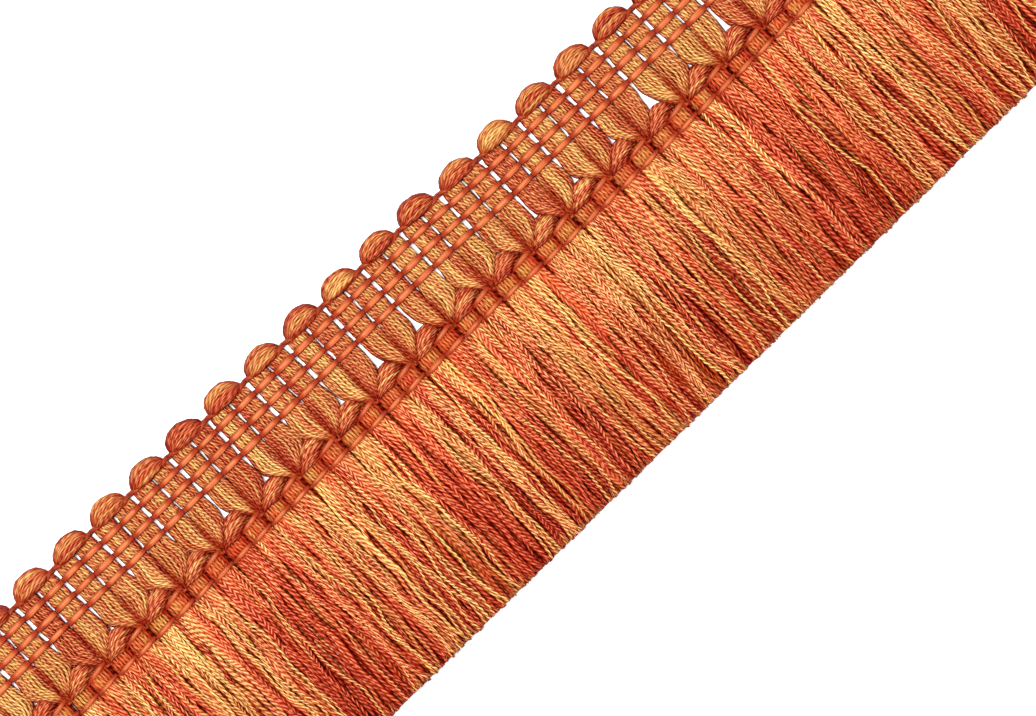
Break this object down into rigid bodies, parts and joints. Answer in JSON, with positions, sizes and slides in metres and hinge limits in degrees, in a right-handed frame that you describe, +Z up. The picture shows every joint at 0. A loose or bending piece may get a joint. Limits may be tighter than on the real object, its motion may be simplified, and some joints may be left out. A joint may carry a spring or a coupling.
{
  "type": "brush fringe trim",
  "caption": "Cut length of woven brush fringe: a scalloped gimp heading crossed by binder cords, with a straight skirt of loose twisted yarns, lying flat.",
  "frame": {"origin": "middle of the underside, on the surface that the trim lies on", "axes": "+X along the trim, +Y from the yarn tips to the scalloped edge, +Z up from the surface through the face"},
  "size_m": [0.2727, 0.0761, 0.0039],
  "materials": {
    "weft_yarn": "two-ply rayon yarn in gold, orange, salmon and rust, lightly lustrous",
    "binder_cord": "smooth untwisted rayon filament in burnt orange, satin",
    "skirt_yarn": "two-ply rayon yarn in gold, orange, salmon and rust, cut ends slightly frayed"
  },
  "bodies": {
    "root": {"weft_gimp": "weft_yarn", "face_cord_1": "binder_cord", "back_cord_1": "binder_cord", "face_cord_2": "binder_cord", "back_cord_2": "binder_cord", "face_cord_3": "binder_cord", "back_cord_3": "binder_cord", "face_cord_4": "binder_cord", "back_cord_4": "binder_cord", "face_cord_5": "binder_cord", "back_cord_5": "binder_cord", "face_cord_6": "binder_cord", "back_cord_6": "binder_cord", "skirt": "skirt_yarn"}
  },
  "joints": []
}
